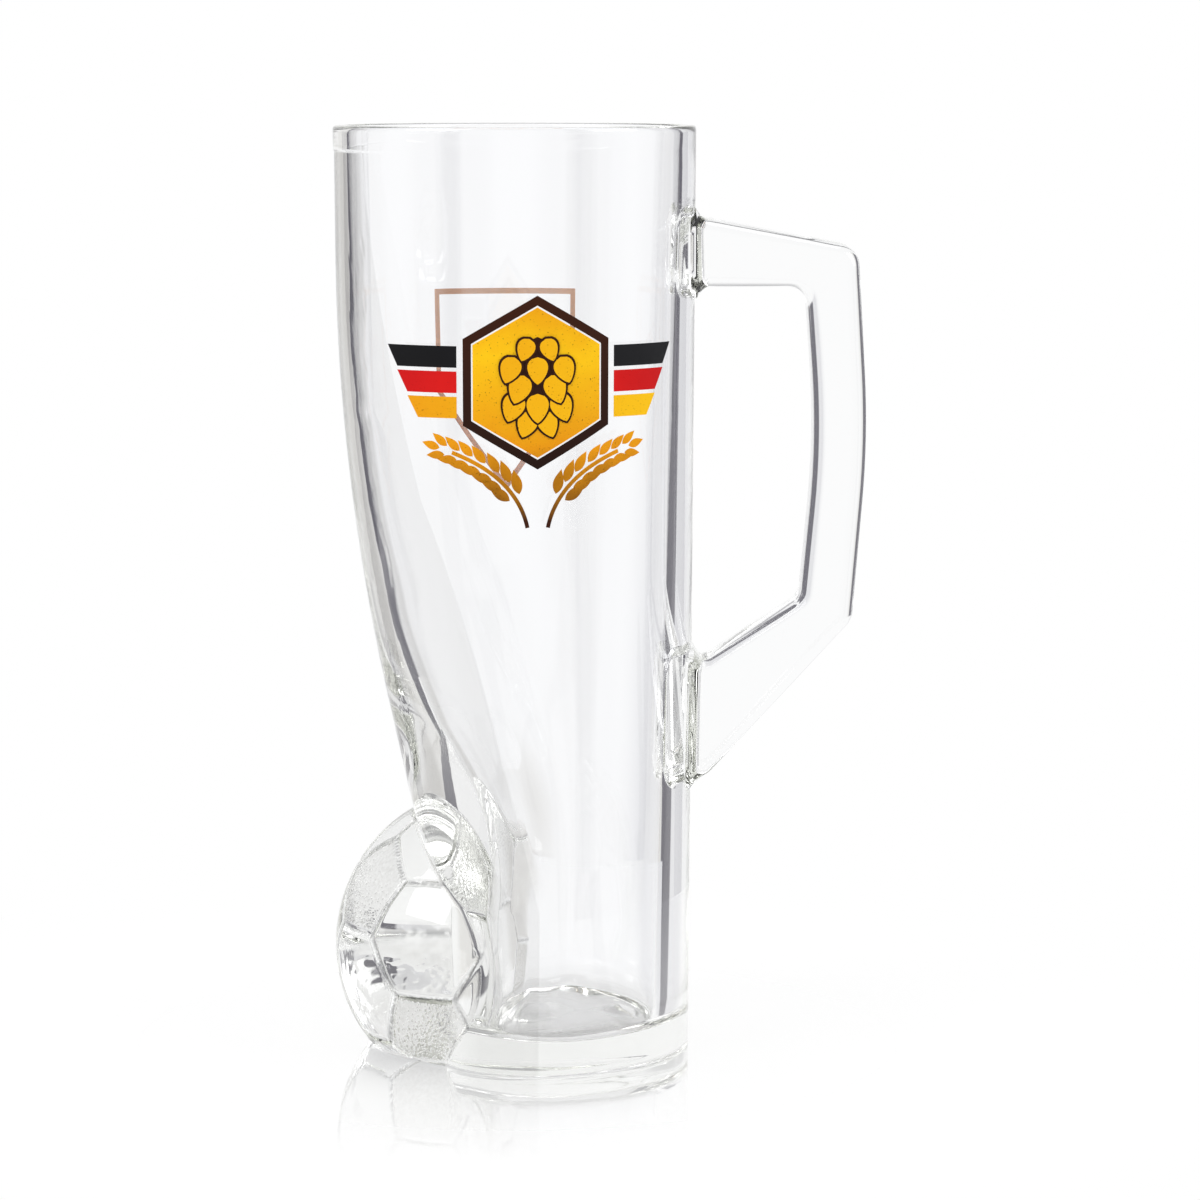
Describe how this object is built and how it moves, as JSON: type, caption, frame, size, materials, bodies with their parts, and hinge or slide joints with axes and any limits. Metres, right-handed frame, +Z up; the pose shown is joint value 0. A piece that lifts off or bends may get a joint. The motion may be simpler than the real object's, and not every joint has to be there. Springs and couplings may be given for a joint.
{
  "type": "beer mug",
  "caption": "Tall clear-glass beer mug: a barrel swept back like a shin above a football-shaped toe, with a flat bar handle and fired prints.",
  "frame": {"origin": "on the barrel's axis, in the flat plane that the mug stands on", "axes": "+Z up the barrel to the rim, +X towards the handle, -X towards the ball, -Y towards the main print"},
  "size_m": [0.1185, 0.0802, 0.205],
  "materials": {
    "clear_glass": "clear pressed glass, fire-polished",
    "gold_enamel": "fired gold enamel, glossy",
    "brown_enamel": "fired dark brown enamel, glossy",
    "black_enamel": "fired black enamel, glossy",
    "red_enamel": "fired red enamel, glossy",
    "copper_enamel": "fired copper-coloured enamel, glossy"
  },
  "bodies": {
    "root": {"glass_body": "clear_glass", "football": "clear_glass", "handle": "clear_glass", "upper_handle_weld": "clear_glass", "lower_handle_weld": "clear_glass", "print_badge_rim": "brown_enamel", "print_badge_field": "gold_enamel", "print_hop_cone": "brown_enamel", "print_left_black_bar": "black_enamel", "print_left_red_bar": "red_enamel", "print_left_gold_bar": "gold_enamel", "print_right_black_bar": "black_enamel", "print_right_red_bar": "red_enamel", "print_right_gold_bar": "gold_enamel", "print_left_barley_ear": "gold_enamel", "print_right_barley_ear": "gold_enamel", "back_shield_line": "copper_enamel", "back_ring_line": "copper_enamel"}
  },
  "joints": []
}
